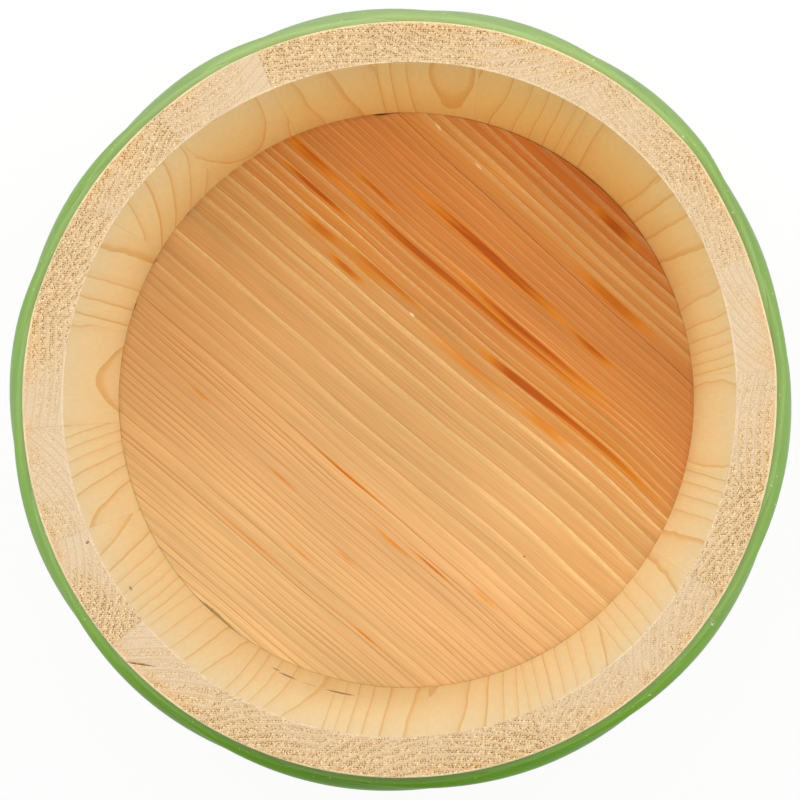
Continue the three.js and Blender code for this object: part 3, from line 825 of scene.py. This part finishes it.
tuft_height = add(tree, "Math", tuft, TEAR_DEPTH, operation="MULTIPLY")
for mark in RIM_DAMAGE:
    mark_radius, mark_bearing, turn, half_out, half_along = mark[:5]
    mark_angle = math.radians(mark_bearing)
    mark_middle = (mark_radius * math.cos(mark_angle), mark_radius * math.sin(mark_angle), 0)
    off_mark = add(tree, "VectorMath", rim_place, mark_middle, operation="SUBTRACT")
    turned_mark = add(tree, "VectorRotate", off_mark, rotation_type="Z_AXIS",
                      into={"Angle": -mark_angle - math.radians(turn)})
    in_halves = add(tree, "VectorMath", turned_mark, (half_out, half_along, 1), operation="DIVIDE")
    from_mark = add(tree, "VectorMath", in_halves, operation="LENGTH").outputs["Value"]
    sunk = add(tree, "MapRange", from_mark, 1, 0.3, 0, -RIM_DAMAGE_DEPTH)
    tuft_height = add(tree, "Math", tuft_height, sunk)
top = add(tree, "Math", at_rim, tuft_height, height, operation="MULTIPLY_ADD")
placed_x = add(tree, "Math", radius, cosine, operation="MULTIPLY")
placed_y = add(tree, "Math", radius, sine, operation="MULTIPLY")
position = add(tree, "CombineXYZ", placed_x, placed_y, top)
end_grain = add(tree, "Math", at_rim, at_foot, operation="MAXIMUM")
mesh = cube
marks = {
    "ring": ring, "ring_width": size["Ring Width"], "sawn": end_grain, "torn": strength, "through": through,
    "shade_warmth": size["Shade Warmth"]}
for name, value in marks.items():
    mesh = add(tree, "GeometryNodeStoreNamedAttribute", mesh, into={"Name": name, "Value": value})
mesh = add(tree, "GeometryNodeSetPosition", mesh, into={"Position": position})

# Half a peg hole in each side, cut away across the joint.
spindle = peg_hole(tree, size)
wall_at_peg = add(tree, "Math", size["Peg Height"], size["Slope"], size["Foot Inside"],
                  operation="MULTIPLY_ADD")
half_wall = add(tree, "Math", size["Thickness"], 0.5, wall_at_peg, operation="MULTIPLY_ADD")
peg_spot_placed = add(tree, "CombineXYZ", half_wall, 0, size["Peg Height"])
seated = add(tree, "GeometryNodeTransform", spindle, into={"Translation": peg_spot_placed})
for side_sign in (-1, 1):
    turn = add(tree, "Math", size["Half Angle"], side_sign, operation="MULTIPLY")
    rotation = add(tree, "CombineXYZ", 0, 0, turn)
    hole = add(tree, "GeometryNodeTransform", seated, into={"Rotation": rotation})
    mesh = add(tree, "GeometryNodeMeshBoolean", mesh, hole, operation="DIFFERENCE", solver="MANIFOLD")
close_tree(tree, mesh, stave_wood, size["Facing"])

peg_middle, hole_sizes = peg_sizes("stave_peg_01")
for number, board in enumerate(BOARDS, start=1):
    pith_across, pith_out, pith_drift, pith_bow, pith_lean, ring_width, mark_angle, mark_share = board[:8]
    tear_left, tear_right, shade_warmth = board[8:]
    facing = math.radians(FIRST_JOINT + (number - 0.5) * STAVE_ANGLE)
    mark_radius = rim_inside - wall_slope * mark_share * (tub_height - floor_top)
    mark_across = mark_radius * math.sin(math.radians(mark_angle)) - pith_across - pith_lean * mark_share
    mark_out = pith_out + (pith_drift + pith_bow * mark_share) * mark_share
    mark_out -= mark_radius * (math.cos(math.radians(mark_angle)) - 1)
    mark_ring = math.hypot(mark_across, mark_out)
    piece = grow("wood_stave_%02d" % number, tree, {
        "Facing": facing, "Half Angle": math.radians(STAVE_ANGLE / 2) - JOINT_GAP / 2 / rim_outside,
        "Rim Height": tub_height, "Floor Height": floor_top, "Foot Inside": foot_inside, "Slope": wall_slope,
        "Thickness": wall_thickness, "Foot Chamfer": foot_inside + wall_thickness - foot_edge,
        "Groove Low": tongue_low - GROOVE_CLEARANCE, "Groove Top": tongue_top + GROOVE_CLEARANCE,
        "Groove Depth": tongue_radius + GROOVE_CLEARANCE - foot_inside - wall_slope * tongue_top,
        "Peg Height": peg_middle[2], "Pith Across": pith_across, "Pith Out": pith_out,
        "Pith Drift": pith_drift, "Pith Bow": pith_bow, "Pith Lean": pith_lean,
        "Ring Width": mark_ring / (round(mark_ring / ring_width) - LINE_BEFORE_END), "Tear Left": tear_left,
        "Tear Right": tear_right, "Shade Warmth": shade_warmth, **hole_sizes})
    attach(piece, "root")
    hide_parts("stave_%02d" % number)

# Hoops: one strand of green plastic tube, wound three times round the tub and twisted on itself, its ends
# butted. Driven on from the narrow foot, the three rounds are pressed together, so that each takes a third of
# an oval section.
HOOPS = ["hoop_rim", "hoop_middle", "hoop_foot"]
HOOP_ROUNDS = 3
HOOP_TWISTS = 13
# The oval's half sizes, its gap to the wall, and the shares by which the creases between rounds lie lower.
HOOP_ACROSS = 3.7
HOOP_UP = 6.7
HOOP_GAP = 0.15
CREASE_ACROSS = 0.5
CREASE_UP = 0.06
# The gap between rounds, as an angle, and how near to the oval's middle a round comes, as a share.
STRAND_GAP = math.radians(0.4)
STRAND_HEART = 0.06
# Where the ends meet and the twist there, in degrees, the gap between them, and how the strand is divided.
STRAND_END = 324.5
STRAND_END_TWIST = 118
STRAND_END_GAP = 0.25
STRAND_STEPS = 1100
STRAND_SIDES = 36
# The twist runs ahead by this angle at one bearing, and lags as much opposite it.
UNEVEN_TWIST = -7
UNEVEN_PEAK = 205
# Soft plastic with a satin skin, painted a deeper green on the side away from the light as painted shade and
# paler on the side towards it as a painted sheen, with faint streaks along it.
GREEN_LIT_AND_SHADED_STOPS = [
    (0, "#5F9316"), (0.08, "#66981C"), (0.25, "#80A84E"), (0.5, "#82A857"), (0.78, "#80A353"), (1, "#8EA86C"),
]
# Painted light on the inner top of the hoop, where the wall above shades it.
GREEN_INNER_LIGHT = "#B4CC96"
DUST = "#E4EAD2"

hoop_plastic, tree, shader = new_material("extruded_green_plastic")
lie = add(tree, "Attribute", attribute_name="lie").outputs["Vector"]
painted_light_side, painted_inner_light, cut_end = marks_of(tree, "painted_light_side", "painted_inner_light", "cut_end")
place = add(tree, "TexCoord").outputs["Object"]
streaks = stretched_noise(tree, lie, (0.03, 0.6, 1), 3)
# Painted light and shade: the ramp runs from a deeper green away from the light to a paler sheen towards it.
lit_and_shaded_green = add(tree, "ValToRGB", painted_light_side)
set_stops(lit_and_shaded_green, GREEN_LIT_AND_SHADED_STOPS)
# Painted light: the inner top is painted paler against the wall's shade.
inner_light_there = add(tree, "Math", painted_inner_light, 0.55, operation="MULTIPLY")
inner_lit_green = laid_over(tree, lit_and_shaded_green, (inner_light_there, GREEN_INNER_LIGHT))
streak_tone = add(tree, "MapRange", streaks, 0.3, 0.7, 0.94, 1.06)
streaked = add(tree, "Mix", 1, inner_lit_green, streak_tone, data_type="RGBA", blend_type="MULTIPLY")
dust = add(tree, "TexNoise", place, into={"Scale": 0.7 / MM, "Detail": 1})
dust_there = add(tree, "MapRange", dust, 0.73, 0.8, 0, 0.6)
end_there = add(tree, "MapRange", cut_end, 0.85, 0.95, 0, 0.6)
pale = add(tree, "Math", dust_there, end_there, operation="MAXIMUM")
dusted = laid_over(tree, streaked, (pale, DUST))
bump = add(tree, "Bump", into={"Strength": 0.04, "Distance": 0.3 * MM, "Height": streaks})
set_shader(tree, shader, {
    "Base Color": dusted, "Specular IOR Level": 0.25, "Roughness": 0.36, "Normal": bump})

tree, size = shape_tree("hoop_shape", ["Hoop Height", "Wall Radius", "Slope", "Rim Height"])
seat = HOOP_GAP + HOOP_ACROSS
third = math.pi / HOOP_ROUNDS
tube = add(tree, "GeometryNodeMeshCylinder", STRAND_SIDES, STRAND_STEPS, 1, 1, 1)
spot = add(tree, "SeparateXYZ", add(tree, "GeometryNodeInputPosition"))
share = add(tree, "Math", spot.outputs["Z"], 0.5)
around = add(tree, "Math", spot.outputs["Y"], spot.outputs["X"], operation="ARCTAN2")
hoop_radius = add(tree, "Math", size["Wall Radius"], seat)
end_angle = add(tree, "Math", STRAND_END_GAP, hoop_radius, operation="DIVIDE")
sweep = add(tree, "Math", HOOP_ROUNDS * 2 * math.pi, end_angle, operation="SUBTRACT")
swept = add(tree, "Math", share, sweep, operation="MULTIPLY")
bearing = add(tree, "Math", swept, math.radians(STRAND_END))
uneven_phase = add(tree, "Math", bearing, -math.radians(UNEVEN_PEAK))
uneven_share = add(tree, "Math", uneven_phase, operation="COSINE")
uneven = add(tree, "Math", uneven_share, math.radians(UNEVEN_TWIST), operation="MULTIPLY")
uneven_start = math.radians(UNEVEN_TWIST) * math.cos(math.radians(STRAND_END - UNEVEN_PEAK))
less_uneven = add(tree, "Math", swept, uneven, operation="SUBTRACT")
twisted = add(tree, "Math", less_uneven, uneven_start)
twist = add(tree, "Math", twisted, -HOOP_TWISTS / HOOP_ROUNDS, math.radians(STRAND_END_TWIST),
            operation="MULTIPLY_ADD")

# Round the strand: two thirds of its sides lie on the oval, the rest run in to its middle and out again.
turned = add(tree, "Math", around, operation="ABSOLUTE")
turned_side = add(tree, "Math", around, operation="SIGN")
spread = add(tree, "MapRange", turned, 0, 2 * third, 0, 1)
spread_angle = add(tree, "Math", spread, third - STRAND_GAP, operation="MULTIPLY")
oval_angle = add(tree, "Math", spread_angle, turned_side, twist, operation="MULTIPLY_ADD")
creased = add(tree, "Math", spread, 1.8, operation="POWER")
inward = add(tree, "MapRange", turned, 2 * third, math.pi, 1, STRAND_HEART)
swell_up = add(tree, "Math", creased, -CREASE_UP, 1, operation="MULTIPLY_ADD")
outer_side = add(tree, "Math", oval_angle, operation="COSINE")
crease_across = add(tree, "MapRange", outer_side, -0.2, 0.5, 0, -CREASE_ACROSS)
swell_out = add(tree, "Math", creased, crease_across, 1, operation="MULTIPLY_ADD")
upper_side = add(tree, "Math", oval_angle, operation="SINE")
up = add(tree, "Math", upper_side, HOOP_UP, operation="MULTIPLY")
full_rise = add(tree, "Math", up, swell_up, operation="MULTIPLY")
rise = add(tree, "Math", full_rise, inward, operation="MULTIPLY")
aside = add(tree, "Math", outer_side, HOOP_ACROSS, operation="MULTIPLY")
full_out = add(tree, "Math", aside, swell_out, operation="MULTIPLY")
out = add(tree, "Math", full_out, inward, operation="MULTIPLY")
sloped = add(tree, "Math", rise, size["Slope"], out, operation="MULTIPLY_ADD")
round_radius = add(tree, "Math", hoop_radius, sloped)
flat_radius = with_flats(tree, round_radius, bearing)
hoop_rise = add(tree, "Math", size["Hoop Height"], size["Rim Height"], operation="DIVIDE")
radius = with_waves(tree, flat_radius, bearing, hoop_rise)
east = add(tree, "Math", bearing, operation="COSINE")
north = add(tree, "Math", bearing, operation="SINE")
placed_x = add(tree, "Math", radius, east, operation="MULTIPLY")
placed_y = add(tree, "Math", radius, north, operation="MULTIPLY")
placed_z = add(tree, "Math", rise, size["Hoop Height"])
position = add(tree, "CombineXYZ", placed_x, placed_y, placed_z)
along = add(tree, "Math", swept, hoop_radius, operation="MULTIPLY")
around_share = add(tree, "Math", around, operation="SINE")
girth = add(tree, "Math", around_share, HOOP_UP / 2, operation="MULTIPLY")
lie = add(tree, "CombineXYZ", along, girth, 0)
# The hoop is painted paler on the side towards the light, as a painted sheen, and a deeper green on the side
# away from it, as painted shade; painted paler on its inner top, as painted light against the shade of the
# wall above; and pale at its cut ends.
# Painted light and shade: 1 on the side towards the light, 0 on the side away from it.
light_side = add(tree, "Math", north, 0.5, 0.5, operation="MULTIPLY_ADD")
# Where light is painted on the inner top, against the wall's shade.
inner_top = add(tree, "MapRange", outer_side, 0.1, -0.6, 0, 1)
from_middle = add(tree, "Math", spot.outputs["Z"], operation="ABSOLUTE")
at_end = add(tree, "MapRange", from_middle, 0.5 - 1 / STRAND_STEPS, 0.5, 0, 1)
mesh = add(tree, "GeometryNodeStoreNamedAttribute", tube, data_type="FLOAT_VECTOR",
           into={"Name": "lie", "Value": lie})
for name, value in (("painted_light_side", light_side), ("painted_inner_light", inner_top), ("cut_end", at_end)):
    mesh = add(tree, "GeometryNodeStoreNamedAttribute", mesh, into={"Name": name, "Value": value})
mesh = add(tree, "GeometryNodeSetPosition", mesh, into={"Position": position})
close_tree(tree, mesh, hoop_plastic, 0)

for hoop in HOOPS:
    low_corner, high_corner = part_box(hoop)
    hoop_height = (low_corner.z + high_corner.z) / 2 / MM
    piece = grow(hoop.replace("hoop", "twisted_hoop"), tree, {
        "Hoop Height": hoop_height, "Wall Radius": foot_inside + wall_thickness + wall_slope * hoop_height,
        "Slope": wall_slope, "Rim Height": tub_height})
    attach(piece, "root")
    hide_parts(hoop)

# Floor: a plain pale studio sheet that the tub stands on. The camera sees it near white, because most of it
# glows for the camera alone, and the rest shows the tub's shadow.
FLOOR_SIZE = 12.0
FLOOR_PALE = "#EDEDED"
FLOOR_GLOW = 0.9


def seen_by_camera(tree):
    """1 for what the camera sees, also mirrored or through something clear, and 0 for other light."""
    path = add(tree, "LightPath").outputs
    seen = add(tree, "Math", path["Is Camera Ray"], path["Is Glossy Ray"], operation="MAXIMUM")
    return add(tree, "Math", seen, path["Is Transmission Ray"], operation="MAXIMUM")


floor_sheet, tree, shader = new_material("pale_studio_sheet")
set_shader(tree, shader, {"Base Color": linear(FLOOR_PALE), "Roughness": 0.9})
glow = add(tree, "Emission", (1, 1, 1, 1), 1.0)
share = add(tree, "Math", seen_by_camera(tree), FLOOR_GLOW, operation="MULTIPLY")
sheet = add(tree, "MixShader", share, shader, glow)
tree.links.new(sheet.outputs[0], tree.nodes["Material Output"].inputs["Surface"])
half_floor = FLOOR_SIZE / 2
floor_corners = [(x * half_floor, y * half_floor, 0) for x, y in ((-1, -1), (1, -1), (1, 1), (-1, 1))]
floor_mesh = bpy.data.meshes.new("floor")
floor_mesh.from_pydata(floor_corners, [], [(0, 1, 2, 3)])
floor_mesh.materials.append(floor_sheet)
floor = bpy.data.objects.new("floor", floor_mesh)
bpy.context.scene.collection.objects.link(floor)

# Light: a broad softbox nearly overhead, two lower ones at the upper right and upper left, and a pale room.
# Each lamp: bearing and height in degrees, distance, width and depth in metres, and power.
ROOM_LIGHT = 0.42
LAMPS = {
    "overhead_softbox": (75, 84, 2.3, 1.5, 1.5, 27),
    "right_softbox": (20, 50, 2.3, 0.9, 0.9, 17.5),
    "left_softbox": (140, 50, 2.3, 0.9, 0.9, 20.5),
}
world = bpy.data.worlds.new("studio")
bpy.context.scene.world = world
world.use_nodes = True
tree = world.node_tree
room = tree.nodes["Background"]
room.inputs["Color"].default_value = (1, 1, 1, 1)
room.inputs["Strength"].default_value = ROOM_LIGHT
white = add(tree, "Background", (1, 1, 1, 1), 1.0)
shown = add(tree, "MixShader", seen_by_camera(tree), room, white)
tree.links.new(shown.outputs[0], tree.nodes["World Output"].inputs["Surface"])

rim_middle = Vector((0, 0, tub_height * MM))
for name, (bearing, lamp_height, distance, wide, deep, power) in LAMPS.items():
    lamp_data = bpy.data.lights.new(name, "AREA")
    lamp_data.shape = "RECTANGLE"
    lamp_data.size = wide
    lamp_data.size_y = deep
    lamp_data.energy = power
    lamp = bpy.data.objects.new(name, lamp_data)
    turn, tilt = math.radians(bearing), math.radians(lamp_height)
    to_lamp = Vector((math.cos(turn) * math.cos(tilt), math.sin(turn) * math.cos(tilt), math.sin(tilt)))
    lamp.location = rim_middle + distance * to_lamp
    lamp.rotation_euler = (-to_lamp).to_track_quat("-Z", "Y").to_euler()
    lamp.visible_camera = False
    bpy.context.scene.collection.objects.link(lamp)

# Camera: straight above the tub, a little to the right of its axis, on a long lens. The lens and the aim
# follow from the size of a pixel on the rim, and from the pixel that the rim's middle falls on.
CAMERA_ABOVE_RIM = Vector((0.0245, -0.004, 2.565))
PHOTO_WIDTH = 800
RIM_SCALE = 0.3431 * MM
RIM_MIDDLE_PIXEL = (400.7, 399.1)
SENSOR_WIDTH = 36
CLIP_END = 50
camera_data = bpy.data.cameras.new("camera")
camera_data.sensor_width = SENSOR_WIDTH
camera_data.lens = SENSOR_WIDTH * CAMERA_ABOVE_RIM.z / (PHOTO_WIDTH * RIM_SCALE)
camera_data.clip_end = CLIP_END
camera = bpy.data.objects.new("camera", camera_data)
half_photo = PHOTO_WIDTH / 2
off_middle = Vector((RIM_MIDDLE_PIXEL[0] - half_photo, half_photo - RIM_MIDDLE_PIXEL[1], 0))
aim = rim_middle - RIM_SCALE * off_middle
camera.location = rim_middle + CAMERA_ABOVE_RIM
back = (camera.location - aim).normalized()
right = Vector((0, 1, 0)).cross(back).normalized()
camera.rotation_euler = Matrix((right, back.cross(right), back)).transposed().to_euler()
bpy.context.scene.collection.objects.link(camera)
bpy.context.scene.camera = camera
bpy.context.scene.view_settings.view_transform = "Standard"
